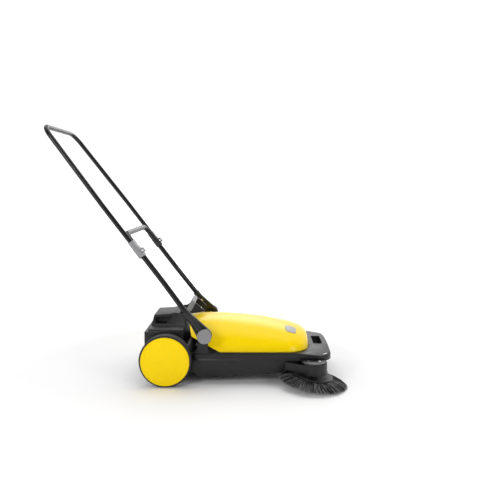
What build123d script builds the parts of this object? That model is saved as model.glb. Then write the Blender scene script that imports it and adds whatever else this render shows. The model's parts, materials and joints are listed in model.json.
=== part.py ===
"""Push-along floor sweeper with a tilting handle, a side brush and a rear dirt container.

Millimetres, +X forward, +Y to the machine's left, +Z up. Heights are measured from the floor.
Fore-and-aft places are measured from the wheel axle and sideways places from the middle of the chassis;
the three base planes carry both to the frame of the part, whose origin is under the middle of its box.
"""

import os

from build123d import *
from math import cos, radians, sin

os.makedirs("parts", exist_ok=True)

# ---------------------------------------------------------------- driving dimensions
WALL = 3.0                    # moulded plastic wall
GAP = 0.3                     # clearance between faces that move past each other
RUNNING = 0.05                # radial clearance of a shaft in its bush

# wheels
WHEEL_RADIUS = 97.5
WHEEL_INNER = 192.0           # inner face of the tyre, from the middle
WHEEL_OUTER = 230.0           # outer face of the tyre
CAP_RADIUS = 90.5
CAP_OUTER = 236.0             # crown of the domed cap
RIM_RADIUS = 88.0
BUSH_RADIUS = 11.0
AXLE_RADIUS = 8.0
AXLE_Z = WHEEL_RADIUS

# chassis
SIDE_INNER = 166.0            # inner face of the frame's side walls
RAIL_OUTER = 190.0
RAIL_BOTTOM = 92.0
RAIL_TOP = 118.0
HOOD_FRONT = 540.0
HOOD_HALF = 172.0
HOOD_CORNER = 95.0            # radius of the nose's corners, seen from above
DECK_Z = 84.0
BUMPER_REAR = 500.0
BUMPER_FRONT = 622.0
BUMPER_HALF = 186.0
SLOT_X = 582.0                # hand slot through the bumper
SLOT_LENGTH = 36.0
SLOT_WIDTH = 116.0

# push handle
PIVOT_X = 143.0
PIVOT_Z = 188.0
HANDLE_TILT = 37.2            # back from vertical, at rest
HANDLE_LENGTH = 972.0         # pivot to the middle of the grip bar
LOWER_LENGTH = 475.0          # pivot to the middle of the crossbar
LOWER_RADIUS = 10.0
UPPER_RADIUS = 9.0
TUBE_WALL = 1.5
LOWER_HALF = 205.0            # middle of the leg at the pivot
LOWER_TOP_HALF = 192.0
UPPER_HALF = 214.0
UPPER_TOP_HALF = 184.0
CLAMP_LOW = 371.0
CLAMP_HIGH = 440.0
HUB_RADIUS = 27.0
PIN_RADIUS = 6.0

# sweeping roller and its drive
GEAR_MODULE = 2.5
RING_TEETH = 60
PINION_TEETH = 12
PINION_ANGLE = -60.0          # below the axle's level; a whole number of ring teeth
ROLLER_GAP = 0.4              # bristle tips to the floor
ROLLER_PULLEY = 8.0
FRONT_PULLEY = 15.0
SHAFT_RADIUS = 5.0
BELT_THICK = 2.0
BEARING_RADIUS = 11.0
BUSH_SEAT = 8.0

# side brush
BRUSH_X = 551.0
BRUSH_Y = -200.0
BRUSH_Z = 41.0                # middle of the disc's top face
BRUSH_TILT = 7.0              # leans forward, so the front of the rim meets the floor
BRUSH_RADIUS = 128.0
DISC_RADIUS = 71.0
CROWN_MODULE = 1.6
CROWN_TEETH = 20
FRONT_TEETH = 10
HOUSING_RADIUS = 48.0
HOUSING_TOP = 95.0
HOUSING_BOTTOM = 50.0
BRISTLE_DROP = (BRUSH_Z - BRUSH_RADIUS * sin(radians(BRUSH_TILT))) / cos(radians(BRUSH_TILT))

# container
BOX_REAR = -87.0
BOX_FRONT = 60.0
BOX_HALF = 158.0
BOX_BOTTOM = 36.0
BOX_TOP = 200.0

# ---------------------------------------------------------------- frame of the part
HANDLE_REACH = HANDLE_LENGTH * sin(radians(HANDLE_TILT)) + UPPER_RADIUS - PIVOT_X
BRUSH_REACH = BRUSH_X + BRUSH_RADIUS * cos(radians(BRUSH_TILT)) - BRISTLE_DROP * sin(radians(BRUSH_TILT))
AXLE_X = (HANDLE_REACH - BRUSH_REACH) / 2
MID_Y = (BRUSH_RADIUS - BRUSH_Y - CAP_OUTER) / 2

TOP = Plane(origin=(AXLE_X, MID_Y, 0))
SIDE = Plane(origin=(AXLE_X, MID_Y, 0), x_dir=(1, 0, 0), z_dir=(0, -1, 0))
FRONT = Plane(origin=(AXLE_X, MID_Y, 0), x_dir=(0, 1, 0), z_dir=(1, 0, 0))
MIDDLE = Plane(origin=(AXLE_X, MID_Y, 0), x_dir=(1, 0, 0), z_dir=(0, 1, 0))

LEAN = radians(HANDLE_TILT)
HANDLE = Plane(
    origin=(AXLE_X + PIVOT_X, MID_Y, PIVOT_Z), x_dir=(0, 1, 0), z_dir=(cos(LEAN), 0, sin(LEAN))
)
HANDLE_SIDE = Plane(
    origin=(AXLE_X + PIVOT_X, MID_Y, PIVOT_Z), x_dir=(cos(LEAN), 0, sin(LEAN)), z_dir=(0, -1, 0)
)
NOD = radians(BRUSH_TILT)
BRUSH = Plane(
    origin=(AXLE_X + BRUSH_X, MID_Y + BRUSH_Y, BRUSH_Z),
    x_dir=(cos(NOD), 0, -sin(NOD)),
    z_dir=(sin(NOD), 0, cos(NOD)),
)

# The roller shaft carries the pinion, so it stands one centre distance from the axle.
GEAR_CENTRES = GEAR_MODULE * (RING_TEETH - PINION_TEETH) / 2
ROLLER_X = GEAR_CENTRES * cos(radians(PINION_ANGLE))
ROLLER_Z = AXLE_Z + GEAR_CENTRES * sin(radians(PINION_ANGLE))
ROLLER_RADIUS = ROLLER_Z - ROLLER_GAP

# The crown gear's pitch plane and the front shaft above it, measured along the leaning spindle.
CROWN_RADIUS = CROWN_MODULE * CROWN_TEETH / 2
FRONT_PITCH = CROWN_MODULE * FRONT_TEETH / 2
FRONT_AXIS_UP = 31.0
CROWN_UP = FRONT_AXIS_UP - FRONT_PITCH
FRONT_X = BRUSH_X + FRONT_AXIS_UP * sin(NOD)
FRONT_Z = BRUSH_Z + FRONT_AXIS_UP * cos(NOD)

SIDES = {"right": 1, "left": -1}


def save(piece, name):
    """Labels a finished piece and writes its STEP file."""
    piece.part.label = name
    export_step(piece.part, f"parts/{name}.step")


def across_handle(along):
    """Plane square to the push handle: local x is +Y, local -y is the handle's front."""
    return Plane(HANDLE.origin + HANDLE.y_dir * along, x_dir=HANDLE.x_dir, z_dir=HANDLE.y_dir)


def gear_outline(teeth, root, tip, root_half, tip_half, phase=0.0):
    """Corner points of a gear whose tooth flanks are straight; half widths are in degrees."""
    points = []
    corners = [(root, -root_half), (tip, -tip_half), (tip, tip_half), (root, root_half)]
    for tooth in range(teeth):
        middle = phase + 360.0 * tooth / teeth
        for radius, turn in corners:
            angle = radians(middle + turn)
            points.append((radius * cos(angle), radius * sin(angle)))
    return points


# ================================================================ chassis
# side of the frame: wheel bay at the rear, sloped skirt corner, bottom rising to the front
WALL_OUTLINE = [
    (-80, 60), (-6, 60), (14, 28), (46, 28), (78, 60), (92, 60),
    (122, 36), (430, 46), (468, 62), (600, 66), (600, DECK_Z),
    (BUMPER_REAR, DECK_Z), (BUMPER_REAR, RAIL_TOP - 4), (60, RAIL_TOP - 4), (40, 130), (-80, 110),
]
# upright lug that carries the handle's pivot pin
TOWER_FOOT = RAIL_TOP - 4
TOWER_OUTLINE = [(112, TOWER_FOOT), (124, PIVOT_Z + 12), (158, PIVOT_Z + 12), (154, TOWER_FOOT)]
TOWER_INNER = 177.0
RAIL_OUTLINE = [
    (104, 101), (110, RAIL_TOP), (BUMPER_REAR, RAIL_TOP), (BUMPER_REAR, RAIL_BOTTOM), (104, RAIL_BOTTOM)
]
RAIL_HOLLOW = [
    (107, 103), (112, RAIL_TOP - WALL), (BUMPER_REAR + 1, RAIL_TOP - WALL),
    (BUMPER_REAR + 1, RAIL_BOTTOM - 1), (107, RAIL_BOTTOM - 1),
]
ROOF_RADIUS = ROLLER_RADIUS + 5
ROOF_END = ROLLER_X + ROOF_RADIUS + WALL

with BuildPart() as main_frame:
    # side wall, rail and pivot tower
    with BuildSketch(SIDE.offset(SIDE_INNER)):
        Polygon(*WALL_OUTLINE, align=None)
    extrude(amount=WALL)
    with BuildSketch(SIDE.offset(SIDE_INNER)):
        Polygon(*RAIL_OUTLINE, align=None)
    extrude(amount=RAIL_OUTER - SIDE_INNER)
    with BuildSketch(SIDE.offset(SIDE_INNER + WALL)):
        Polygon(*RAIL_HOLLOW, align=None)
    extrude(amount=RAIL_OUTER - SIDE_INNER - 2 * WALL, mode=Mode.SUBTRACT)
    with BuildSketch(SIDE.offset(TOWER_INNER)):
        Polygon(*TOWER_OUTLINE, align=None)
    extrude(amount=RAIL_OUTER - TOWER_INNER)
    # boss for the stub axle, and the ledge that carries the container
    with BuildSketch(SIDE.offset(SIDE_INNER)):
        with Locations((0, AXLE_Z)):
            Circle(16)
    extrude(amount=RAIL_OUTER - 2 - SIDE_INNER)
    with BuildSketch(SIDE.offset(BOX_HALF - 8)):
        with Locations((-52, BOX_BOTTOM - 2)):
            Rectangle(50, WALL)
    extrude(amount=SIDE_INNER + WALL - BOX_HALF + 8)
    with BuildSketch(SIDE.offset(SIDE_INNER)):
        with Locations((-52, 48)):
            Rectangle(50, 28)
    extrude(amount=WALL)
    mirror(about=MIDDLE)
    # roof of the roller chamber, the deck in front of it and its ribs
    with BuildSketch(SIDE.offset(-SIDE_INNER)):
        with Locations((ROLLER_X, ROLLER_Z)):
            Circle(ROOF_RADIUS + WALL)
            Circle(ROOF_RADIUS, mode=Mode.SUBTRACT)
        Polygon(
            (-60, -60), (150, -60), (150, 46), (ROLLER_X, 46), (10, 130), (-60, 130),
            align=None, mode=Mode.SUBTRACT,
        )
        Polygon(
            (ROOF_END - WALL, 46), (250, 66), (600, DECK_Z - WALL), (600, DECK_Z), (250, 69 + WALL),
            (ROOF_END - WALL, 46 + 2 * WALL), align=None,
        )
    extrude(amount=2 * SIDE_INNER)
    for x in (330.0, 440.0):
        with BuildSketch(FRONT.offset(x)):
            with Locations((0, 72)):
                Rectangle(2 * SIDE_INNER, 8)
        extrude(amount=WALL)
    # holes for the stub axles, pivot pins, roller bearings and front shaft bush
    with BuildSketch(SIDE.offset(-200)):
        with Locations((0, AXLE_Z)):
            Circle(AXLE_RADIUS)
        with Locations((PIVOT_X, PIVOT_Z)):
            Circle(PIN_RADIUS)
        with Locations((ROLLER_X, ROLLER_Z)):
            Circle(BEARING_RADIUS)
    extrude(amount=400, mode=Mode.SUBTRACT)
    with BuildSketch(SIDE.offset(150)):
        with Locations((FRONT_X, FRONT_Z)):
            Circle(BUSH_SEAT)
    extrude(amount=30, mode=Mode.SUBTRACT)
    # slot through the front deck, below the hand slot of the bumper
    with BuildSketch(TOP.offset(60)):
        with Locations((SLOT_X, 0)):
            RectangleRounded(SLOT_LENGTH + 6, SLOT_WIDTH + 6, 9)
    extrude(amount=40, mode=Mode.SUBTRACT)
save(main_frame, "main_frame")

# forward place, half width and crest height of the hood's cross-sections
HOOD_SECTIONS = [
    (62.0, HOOD_HALF, 220.0),
    (210.0, HOOD_HALF, 224.0),
    (385.0, HOOD_HALF - 1, 206.0),
    (470.0, HOOD_HALF - 4, 189.0),
    (HOOD_FRONT, HOOD_HALF - 20, 164.0),
]


with BuildPart() as hood_core:
    for x, half, crest in HOOD_SECTIONS:
        place = x - WALL - 4 if x == HOOD_FRONT else x
        width = half - WALL
        with BuildSketch(FRONT.offset(place)):
            with BuildLine():
                EllipticalCenterArc((0, RAIL_TOP - 1), width, crest - WALL - RAIL_TOP + 1, 0, arc_size=180)
                Line((-width, RAIL_TOP - 1), (width, RAIL_TOP - 1))
            make_face()
    loft()
    with BuildSketch(TOP.offset(RAIL_TOP - 2)) as core_plan:
        with Locations(((HOOD_FRONT - WALL) / 2, 0)):
            Rectangle(HOOD_FRONT - WALL, 2 * (HOOD_HALF - WALL))
        fillet(core_plan.vertices().group_by(Axis.X)[-1], radius=HOOD_CORNER - WALL)
    extrude(amount=120, mode=Mode.INTERSECT)

with BuildPart() as hood:
    for x, half, crest in HOOD_SECTIONS:
        with BuildSketch(FRONT.offset(x)):
            with BuildLine():
                EllipticalCenterArc((0, RAIL_TOP), half, crest - RAIL_TOP, 0, arc_size=180)
                Line((-half, RAIL_TOP), (half, RAIL_TOP))
            make_face()
    loft()
    fillet(hood.faces().sort_by(Axis.X)[-1].edges().sort_by(Axis.Z)[1:], radius=14)
    with BuildSketch(TOP.offset(RAIL_TOP - 2)) as hood_plan:
        with Locations((HOOD_FRONT / 2, 0)):
            Rectangle(HOOD_FRONT, 2 * HOOD_HALF)
        fillet(hood_plan.vertices().group_by(Axis.X)[-1], radius=HOOD_CORNER)
    extrude(amount=120, mode=Mode.INTERSECT)
    add(hood_core.part, mode=Mode.SUBTRACT)
    # the foot rises to the rear, and the rear edge leans back over the container
    with BuildSketch(SIDE.offset(-250)):
        Polygon(
            (0, 100), (200, 100), (200, RAIL_TOP), (150, 136), (97, 158), (66, 240), (0, 240), align=None
        )
    extrude(amount=500, mode=Mode.SUBTRACT)
save(hood, "hood")

# forward place, height at the side and height at the middle of the bumper's top
BUMPER_SECTIONS = [
    (BUMPER_REAR, RAIL_TOP - 1, RAIL_TOP),
    (545.0, 112.0, 121.5),
    (BUMPER_FRONT, 101.0, 121.0),
]
BUMPER_LOW = 88.0

with BuildPart() as front_bumper:
    for x, side_z, middle_z in BUMPER_SECTIONS:
        with BuildSketch(FRONT.offset(x)):
            with BuildLine():
                ThreePointArc((-BUMPER_HALF, side_z), (0, middle_z), (BUMPER_HALF, side_z))
                Polyline(
                    (BUMPER_HALF, side_z), (BUMPER_HALF, BUMPER_LOW),
                    (-BUMPER_HALF, BUMPER_LOW), (-BUMPER_HALF, side_z),
                )
            make_face()
    loft()
    # rounded plan
    with BuildSketch(TOP.offset(BUMPER_LOW - 1)) as plan:
        with Locations(((BUMPER_REAR + BUMPER_FRONT) / 2, 0)):
            Rectangle(BUMPER_FRONT - BUMPER_REAR, 2 * BUMPER_HALF)
        fillet(plan.vertices().group_by(Axis.X)[-1], radius=62)
    extrude(amount=60, mode=Mode.INTERSECT)
    fillet(front_bumper.faces().sort_by(Axis.Z)[-1].edges().sort_by(Axis.X)[1:], radius=7)
    # seat for the hood's front, hollow underside, hand slot and the recess over the brush housing
    with BuildSketch(TOP.offset(RAIL_TOP - GAP)):
        with Locations((BUMPER_REAR + 20, 0)):
            Rectangle(HOOD_FRONT - BUMPER_REAR + 2, 2 * HOOD_HALF)
    extrude(amount=30, mode=Mode.SUBTRACT)
    with BuildSketch(TOP.offset(BUMPER_LOW - 1)):
        with Locations((SLOT_X - 36, 0)):
            RectangleRounded(140, 2 * SIDE_INNER, 40)
        with Locations((SLOT_X, 0)):
            RectangleRounded(SLOT_LENGTH + 6, SLOT_WIDTH + 6, 9, mode=Mode.SUBTRACT)
    extrude(amount=RAIL_TOP - WALL - 4 - BUMPER_LOW, mode=Mode.SUBTRACT)
    with BuildSketch(TOP.offset(60)):
        with Locations((SLOT_X, 0)):
            RectangleRounded(SLOT_LENGTH, SLOT_WIDTH, 8)
    extrude(amount=80, mode=Mode.SUBTRACT)
    with BuildSketch(TOP.offset(60)):
        with Locations((BRUSH_X, BRUSH_Y)):
            Circle(HOUSING_RADIUS + 1)
    extrude(amount=HOUSING_TOP + 1 - 60, mode=Mode.SUBTRACT)
save(front_bumper, "front_bumper")

# side covers close the belt space; their faces draw in towards the front
COVER_REAR = 91.0
COVER_OUTER = 189.0
COVER_FRONT_OUTER = 179.0
COVER_OUTLINE = [
    (COVER_REAR, 54), (122, 29), (430, 43), (468, 62), (BUMPER_REAR, 63),
    (BUMPER_REAR, RAIL_BOTTOM - GAP), (COVER_REAR, RAIL_BOTTOM - GAP),
]
COVER_SCREWS = [(120, 84), (236, 84)]
SCREW_RADIUS = 2.0

for side_name, side in SIDES.items():
    with BuildPart() as side_cover:
        with BuildSketch(SIDE.offset(side * (SIDE_INNER + WALL))):
            Polygon(*COVER_OUTLINE, align=None)
        extrude(amount=side * (COVER_OUTER - SIDE_INNER - WALL))
        # bend the face inwards ahead of the roller, then hollow the cover
        with BuildSketch(TOP):
            Polygon(
                (250, -side * COVER_OUTER), (BUMPER_REAR + 1, -side * COVER_FRONT_OUTER),
                (BUMPER_REAR + 1, -side * 200), (250, -side * 200), align=None,
            )
        extrude(amount=120, mode=Mode.SUBTRACT)
        with BuildSketch(TOP):
            Polygon(
                (COVER_REAR - 1, -side * (SIDE_INNER + WALL - 1)),
                (COVER_REAR - 1, -side * (COVER_OUTER - 2.5)),
                (250, -side * (COVER_OUTER - 2.5)), (BUMPER_REAR + 1, -side * (COVER_FRONT_OUTER - 2.5)),
                (BUMPER_REAR + 1, -side * (SIDE_INNER + WALL - 1)), align=None,
            )
        extrude(amount=120, mode=Mode.SUBTRACT)
        with BuildSketch(SIDE.offset(side * (COVER_OUTER - 5))):
            with Locations(*COVER_SCREWS):
                Circle(SCREW_RADIUS)
        extrude(amount=side * 10, mode=Mode.SUBTRACT)
    save(side_cover, f"{side_name}_side_cover")

with BuildPart() as cover_screws:
    for side in SIDES.values():
        with BuildSketch(SIDE.offset(side * (COVER_OUTER - 6))):
            with Locations(*COVER_SCREWS):
                Circle(SCREW_RADIUS)
        extrude(amount=side * 6)
        with BuildSketch(SIDE.offset(side * COVER_OUTER)):
            with Locations(*COVER_SCREWS):
                Circle(4)
        extrude(amount=side * 1.6)
save(cover_screws, "cover_screws")

for side_name, side in SIDES.items():
    with BuildPart() as axle:
        with BuildSketch(SIDE.offset(side * (SIDE_INNER - 3))):
            with Locations((0, AXLE_Z)):
                Circle(AXLE_RADIUS + 4)
        extrude(amount=side * 3)
        with BuildSketch(SIDE.offset(side * SIDE_INNER)):
            with Locations((0, AXLE_Z)):
                Circle(AXLE_RADIUS)
        extrude(amount=side * (WHEEL_OUTER - 1 - SIDE_INNER))
    save(axle, f"{side_name}_axle")

with BuildPart() as axle_clips:
    for side in SIDES.values():
        with BuildSketch(SIDE.offset(side * (WHEEL_OUTER - 3.5))):
            with Locations((0, AXLE_Z)):
                Circle(AXLE_RADIUS + 5)
                Circle(AXLE_RADIUS, mode=Mode.SUBTRACT)
        extrude(amount=side * 1.5)
save(axle_clips, "axle_clips")

PIN_HEAD = 173.5
PIN_END = 223.0
CLIP_NEAR = 219.3

for side_name, side in SIDES.items():
    with BuildPart() as pivot_pin:
        with BuildSketch(SIDE.offset(side * PIN_HEAD)):
            with Locations((PIVOT_X, PIVOT_Z)):
                Circle(PIN_RADIUS + 3)
        extrude(amount=side * (TOWER_INNER - PIN_HEAD))
        with BuildSketch(SIDE.offset(side * TOWER_INNER)):
            with Locations((PIVOT_X, PIVOT_Z)):
                Circle(PIN_RADIUS)
        extrude(amount=side * (PIN_END - TOWER_INNER))
    save(pivot_pin, f"{side_name}_pivot_pin")

with BuildPart() as pivot_clips:
    for side in SIDES.values():
        with BuildSketch(SIDE.offset(side * CLIP_NEAR)):
            with Locations((PIVOT_X, PIVOT_Z)):
                Circle(PIN_RADIUS + 5)
                Circle(PIN_RADIUS, mode=Mode.SUBTRACT)
        extrude(amount=side * 1.5)
save(pivot_clips, "pivot_clips")

# ================================================================ wheels
WEB_NEAR = 222.0
WEB_FAR = 225.0
RING_NEAR = 194.0
RING_FAR = 206.0
RING_ROOT = GEAR_MODULE * (RING_TEETH / 2 + 1.05)
RING_TIP = GEAR_MODULE * (RING_TEETH / 2 - 0.8)

for side_name, side in SIDES.items():
    with BuildPart() as tyre:
        with BuildSketch(SIDE.offset(side * WHEEL_INNER)):
            with Locations((0, AXLE_Z)):
                Circle(WHEEL_RADIUS)
                Circle(RIM_RADIUS, mode=Mode.SUBTRACT)
        extrude(amount=side * (WHEEL_OUTER - WHEEL_INNER))
        tread = tyre.faces().filter_by(GeomType.CYLINDER).sort_by(SortBy.RADIUS)[-1]
        fillet(tread.edges().filter_by(GeomType.CIRCLE), radius=4)
    save(tyre, f"{side_name}_tyre")

    with BuildPart() as rim:
        with BuildSketch(SIDE.offset(side * WHEEL_INNER)):
            with Locations((0, AXLE_Z)):
                Circle(RIM_RADIUS)
                Circle(RIM_RADIUS - WALL, mode=Mode.SUBTRACT)
                Circle(BUSH_RADIUS + 5)
                Circle(BUSH_RADIUS, mode=Mode.SUBTRACT)
        extrude(amount=side * (WEB_NEAR - WHEEL_INNER))
        with BuildSketch(SIDE.offset(side * WEB_NEAR)):
            with Locations((0, AXLE_Z)):
                Circle(RIM_RADIUS)
                Circle(BUSH_RADIUS, mode=Mode.SUBTRACT)
        extrude(amount=side * (WEB_FAR - WEB_NEAR))
    save(rim, f"{side_name}_rim")

    with BuildPart() as wheel_bush:
        with BuildSketch(SIDE.offset(side * (WHEEL_INNER - 2))):
            with Locations((0, AXLE_Z)):
                Circle(BUSH_RADIUS)
                Circle(AXLE_RADIUS + RUNNING, mode=Mode.SUBTRACT)
        extrude(amount=side * (WEB_FAR + 1 - WHEEL_INNER + 2))
    save(wheel_bush, f"{side_name}_wheel_bush")

    with BuildPart() as hub_cap:
        with BuildSketch(SIDE.offset(side * (WHEEL_OUTER + 0.2))):
            with Locations((0, AXLE_Z)):
                Circle(CAP_RADIUS)
        extrude(amount=side * (CAP_OUTER - WHEEL_OUTER - 0.2))
        crown = hub_cap.faces().filter_by(Axis.Y).sort_by(Axis.Y)[0 if side > 0 else -1]
        fillet(crown.edges(), radius=4.5)
        # hollow back, and the skirt that snaps into the rim
        with BuildSketch(SIDE.offset(side * WHEEL_OUTER)):
            with Locations((0, AXLE_Z)):
                Circle(RIM_RADIUS - 6)
        extrude(amount=side * (CAP_OUTER - WHEEL_OUTER - 2.5), mode=Mode.SUBTRACT)
        with BuildSketch(SIDE.offset(side * WEB_FAR)):
            with Locations((0, AXLE_Z)):
                Circle(RIM_RADIUS - 0.2)
                Circle(RIM_RADIUS - 6, mode=Mode.SUBTRACT)
        extrude(amount=side * (WHEEL_OUTER + 1 - WEB_FAR))
    save(hub_cap, f"{side_name}_hub_cap")

with BuildPart() as wheel_ring_gear:
    with BuildSketch(SIDE.offset(RING_NEAR)):
        with Locations((0, AXLE_Z)):
            Circle(RIM_RADIUS - WALL)
            Polygon(
                *gear_outline(RING_TEETH, RING_TIP, RING_ROOT, 1.95, 1.25, phase=0.0),
                align=None, mode=Mode.SUBTRACT,
            )
    extrude(amount=RING_FAR - RING_NEAR)
save(wheel_ring_gear, "wheel_ring_gear")

# ================================================================ sweeping roller
BELT_NEAR = 171.5
BELT_WIDTH = 5.0
PINION_TIP = GEAR_MODULE * (PINION_TEETH / 2 + 0.8)
PINION_ROOT = GEAR_MODULE * (PINION_TEETH / 2 - 1.1)
ROLLER_HALF = 155.0
CORE_RADIUS = 24.0
BRISTLE_ROWS = 12

with BuildPart() as roller_shaft:
    with BuildSketch(SIDE.offset(-SIDE_INNER - WALL - 5)):
        with Locations((ROLLER_X, ROLLER_Z)):
            Circle(SHAFT_RADIUS)
    extrude(amount=SIDE_INNER + WALL + 5 + RING_FAR + 1)
save(roller_shaft, "roller_shaft")

with BuildPart() as roller_core:
    with BuildSketch(SIDE.offset(-ROLLER_HALF)):
        with Locations((ROLLER_X, ROLLER_Z)):
            Circle(CORE_RADIUS)
            Circle(SHAFT_RADIUS, mode=Mode.SUBTRACT)
    extrude(amount=2 * ROLLER_HALF)
save(roller_core, "roller_core")

with BuildPart() as roller_bristles:
    with BuildSketch(SIDE.offset(-ROLLER_HALF + 3)):
        with Locations((ROLLER_X, ROLLER_Z)):
            Polygon(*gear_outline(BRISTLE_ROWS, CORE_RADIUS + 6, ROLLER_RADIUS, 9, 7, phase=-90), align=None)
            Circle(CORE_RADIUS, mode=Mode.SUBTRACT)
    extrude(amount=2 * ROLLER_HALF - 6)
save(roller_bristles, "roller_bristles")

with BuildPart() as roller_pulley:
    with BuildSketch(SIDE.offset(BELT_NEAR - 0.5)):
        with Locations((ROLLER_X, ROLLER_Z)):
            Circle(ROLLER_PULLEY)
            Circle(SHAFT_RADIUS, mode=Mode.SUBTRACT)
    extrude(amount=BELT_WIDTH + 1)
save(roller_pulley, "roller_pulley")

with BuildPart() as drive_pinion:
    with BuildSketch(SIDE.offset(RING_NEAR)):
        with Locations((ROLLER_X, ROLLER_Z)):
            Polygon(
                *gear_outline(PINION_TEETH, PINION_ROOT, PINION_TIP, 8.0, 3.2, phase=PINION_ANGLE),
                align=None,
            )
            Circle(SHAFT_RADIUS, mode=Mode.SUBTRACT)
    extrude(amount=RING_FAR - RING_NEAR)
save(drive_pinion, "drive_pinion")

with BuildPart() as roller_bearings:
    for side in SIDES.values():
        with BuildSketch(SIDE.offset(side * (SIDE_INNER - 4))):
            with Locations((ROLLER_X, ROLLER_Z)):
                Circle(BEARING_RADIUS)
                Circle(SHAFT_RADIUS + RUNNING, mode=Mode.SUBTRACT)
        extrude(amount=side * (WALL + 5))
save(roller_bearings, "roller_bearings")

BELT_ENDS = [((ROLLER_X, ROLLER_Z), ROLLER_PULLEY), ((FRONT_X, FRONT_Z), FRONT_PULLEY)]

with BuildPart() as brush_belt:
    with BuildSketch(SIDE.offset(BELT_NEAR)):
        for centre, radius in BELT_ENDS:
            with Locations(centre):
                Circle(radius + GAP + BELT_THICK)
        make_hull()
    extrude(amount=BELT_WIDTH)
    with BuildSketch(SIDE.offset(BELT_NEAR)):
        for centre, radius in BELT_ENDS:
            with Locations(centre):
                Circle(radius + GAP)
        make_hull()
    extrude(amount=BELT_WIDTH, mode=Mode.SUBTRACT)
save(brush_belt, "brush_belt")

# ================================================================ side brush drive
FRONT_SHAFT_RADIUS = 4.0
PINION_FACE = 6.0
CROWN_INNER = CROWN_RADIUS - PINION_FACE / 2
CROWN_OUTER = CROWN_RADIUS + PINION_FACE / 2
FRONT_PINION_NEAR = -BRUSH_Y - CROWN_OUTER
FRONT_TIP = CROWN_MODULE * (FRONT_TEETH / 2 + 0.8)
FRONT_ROOT = CROWN_MODULE * (FRONT_TEETH / 2 - 1.1)
CROWN_TOP = CROWN_UP + 0.8 * CROWN_MODULE
CROWN_FLOOR = CROWN_UP - 1.1 * CROWN_MODULE
SPINDLE_RADIUS = 5.0
SPINDLE_BUSH_LOW = 9.5
SPINDLE_BUSH_HIGH = 16.0

with BuildPart() as front_shaft:
    with BuildSketch(SIDE.offset(SIDE_INNER - 4)):
        with Locations((FRONT_X, FRONT_Z)):
            Circle(FRONT_SHAFT_RADIUS)
    extrude(amount=FRONT_PINION_NEAR + PINION_FACE - SIDE_INNER + 4)
save(front_shaft, "front_shaft")

with BuildPart() as front_pulley:
    with BuildSketch(SIDE.offset(BELT_NEAR - 0.5)):
        with Locations((FRONT_X, FRONT_Z)):
            Circle(FRONT_PULLEY)
            Circle(FRONT_SHAFT_RADIUS, mode=Mode.SUBTRACT)
    extrude(amount=BELT_WIDTH + 1)
save(front_pulley, "front_pulley")

with BuildPart() as front_pinion:
    with BuildSketch(SIDE.offset(FRONT_PINION_NEAR)):
        with Locations((FRONT_X, FRONT_Z)):
            Polygon(
                *gear_outline(FRONT_TEETH, FRONT_ROOT, FRONT_TIP, 8.0, 3.0, phase=-90 - BRUSH_TILT),
                align=None,
            )
            Circle(FRONT_SHAFT_RADIUS, mode=Mode.SUBTRACT)
    extrude(amount=PINION_FACE)
save(front_pinion, "front_pinion")

with BuildPart() as front_bush:
    with BuildSketch(SIDE.offset(SIDE_INNER - 2)):
        with Locations((FRONT_X, FRONT_Z)):
            Circle(BUSH_SEAT)
            Circle(FRONT_SHAFT_RADIUS + RUNNING, mode=Mode.SUBTRACT)
    extrude(amount=WALL + 3)
save(front_bush, "front_bush")

with BuildPart() as crown_gear:
    with BuildSketch(BRUSH.offset(SPINDLE_BUSH_HIGH + GAP)):
        Circle(CROWN_OUTER + 1)
        Circle(SPINDLE_RADIUS, mode=Mode.SUBTRACT)
    extrude(amount=CROWN_FLOOR - SPINDLE_BUSH_HIGH - GAP)
    # the pinion's lowest tooth stands between two crown teeth
    with BuildSketch(BRUSH.offset(CROWN_FLOOR)):
        with PolarLocations(CROWN_RADIUS, CROWN_TEETH, start_angle=90 + 180 / CROWN_TEETH):
            Rectangle(PINION_FACE, 2.2)
    extrude(amount=CROWN_TOP - CROWN_FLOOR, taper=8)
save(crown_gear, "crown_gear")

with BuildPart() as brush_spindle:
    with BuildSketch(BRUSH.offset(-4)):
        Circle(SPINDLE_RADIUS)
    extrude(amount=CROWN_FLOOR + 4)
save(brush_spindle, "brush_spindle")

with BuildPart() as spindle_bush:
    with BuildSketch(BRUSH.offset(SPINDLE_BUSH_LOW)):
        Circle(BUSH_SEAT)
        Circle(SPINDLE_RADIUS + RUNNING, mode=Mode.SUBTRACT)
    extrude(amount=SPINDLE_BUSH_HIGH - SPINDLE_BUSH_LOW)
save(spindle_bush, "spindle_bush")

FLOOR_THICK = 3.0
HOUSING_INBOARD = SIDE_INNER + WALL

with BuildPart() as housing_floor:
    with BuildSketch(TOP.offset(HOUSING_BOTTOM)):
        with Locations((BRUSH_X, BRUSH_Y)):
            Circle(HOUSING_RADIUS - WALL)
    extrude(amount=FLOOR_THICK)
    with BuildSketch(BRUSH.offset(SPINDLE_BUSH_LOW)):
        Circle(BUSH_SEAT + 4)
    extrude(amount=SPINDLE_BUSH_HIGH - SPINDLE_BUSH_LOW)
    with BuildSketch(BRUSH.offset(0)):
        Circle(BUSH_SEAT)
    extrude(amount=30, mode=Mode.SUBTRACT)
    # flat inboard edge against the frame, and room for the belt's lower run
    with BuildSketch(TOP.offset(HOUSING_BOTTOM - 10)):
        with Locations((BRUSH_X, -HOUSING_INBOARD)):
            Rectangle(120, 60, align=(Align.CENTER, Align.MIN))
        with Locations((BRUSH_X - HOUSING_RADIUS, -HOUSING_INBOARD)):
            Rectangle(34, BELT_WIDTH + 4, align=(Align.MIN, Align.MAX))
    extrude(amount=60, mode=Mode.SUBTRACT)
save(housing_floor, "housing_floor")

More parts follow.
